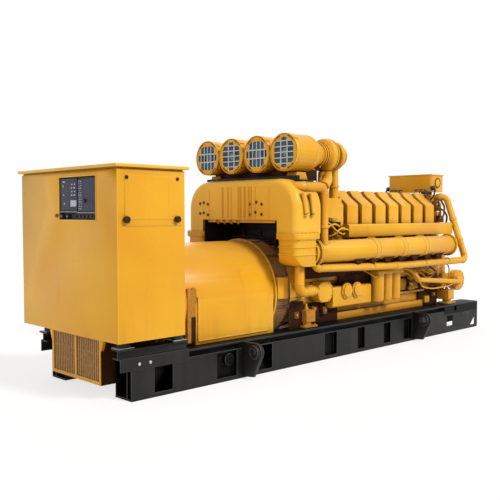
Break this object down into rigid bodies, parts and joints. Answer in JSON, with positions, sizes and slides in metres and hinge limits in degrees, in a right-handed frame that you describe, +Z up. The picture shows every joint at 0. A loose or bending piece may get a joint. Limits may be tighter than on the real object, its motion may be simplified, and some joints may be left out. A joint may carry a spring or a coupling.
{
  "type": "large v16 engine generator set on a skid",
  "caption": "Skid-mounted V engine and alternator set with rear control cabinet, cross-mounted aftercooler, air cleaners and side intake plenums.",
  "frame": {"origin": "on the ground plane, midway between the two skid rails and midway along them, at the centre of the anchor hole pattern", "axes": "+X along the crankshaft from the control cabinet to the engine front, +Y to the engine's left bank, +Z up"},
  "size_m": [6.774, 2.0436, 2.6789],
  "materials": {
    "black_paint": "satin",
    "filter_media": "matte",
    "panel_plastic": "matte",
    "screen_metal": "matte",
    "yellow_paint": "gloss"
  },
  "bodies": {
    "root": {"right_rail": "black_paint", "left_rail": "black_paint", "cross_beams": "black_paint", "lifting_lugs": "black_paint", "cabinet_supports": "black_paint", "cabinet": "yellow_paint", "cabinet_roof": "yellow_paint", "cabinet_side_covers": "yellow_paint", "control_panel": "panel_plastic", "air_inlet_box": "yellow_paint", "inlet_screens": "screen_metal", "alternator_barrel": "yellow_paint", "alternator_side_plates": "yellow_paint", "alternator_end_ring": "yellow_paint", "outlet_screen": "screen_metal", "flywheel_housing": "yellow_paint", "terminal_box": "yellow_paint", "crankcase": "yellow_paint", "oil_pan": "yellow_paint", "cylinder_heads": "yellow_paint", "right_valve_covers": "yellow_paint", "left_valve_covers": "yellow_paint", "water_manifolds": "yellow_paint", "right_intake_plenum": "yellow_paint", "left_intake_plenum": "yellow_paint", "right_intake_elbow": "yellow_paint", "left_intake_elbow": "yellow_paint", "aftercooler": "yellow_paint", "charge_air_pipes": "yellow_paint", "air_cleaner_1": "yellow_paint", "air_cleaner_2": "yellow_paint", "air_cleaner_3": "yellow_paint", "air_cleaner_4": "yellow_paint", "filter_elements": "filter_media", "cleaner_guards": "yellow_paint", "cleaner_tray": "black_paint", "turbochargers": "yellow_paint", "exhaust_manifold": "yellow_paint", "coolant_pipes": "yellow_paint", "thermostat_housing": "yellow_paint", "junction_box": "yellow_paint", "front_housing": "yellow_paint", "crankshaft_damper": "yellow_paint", "water_pumps": "yellow_paint", "oil_filters": "yellow_paint"}
  },
  "joints": []
}
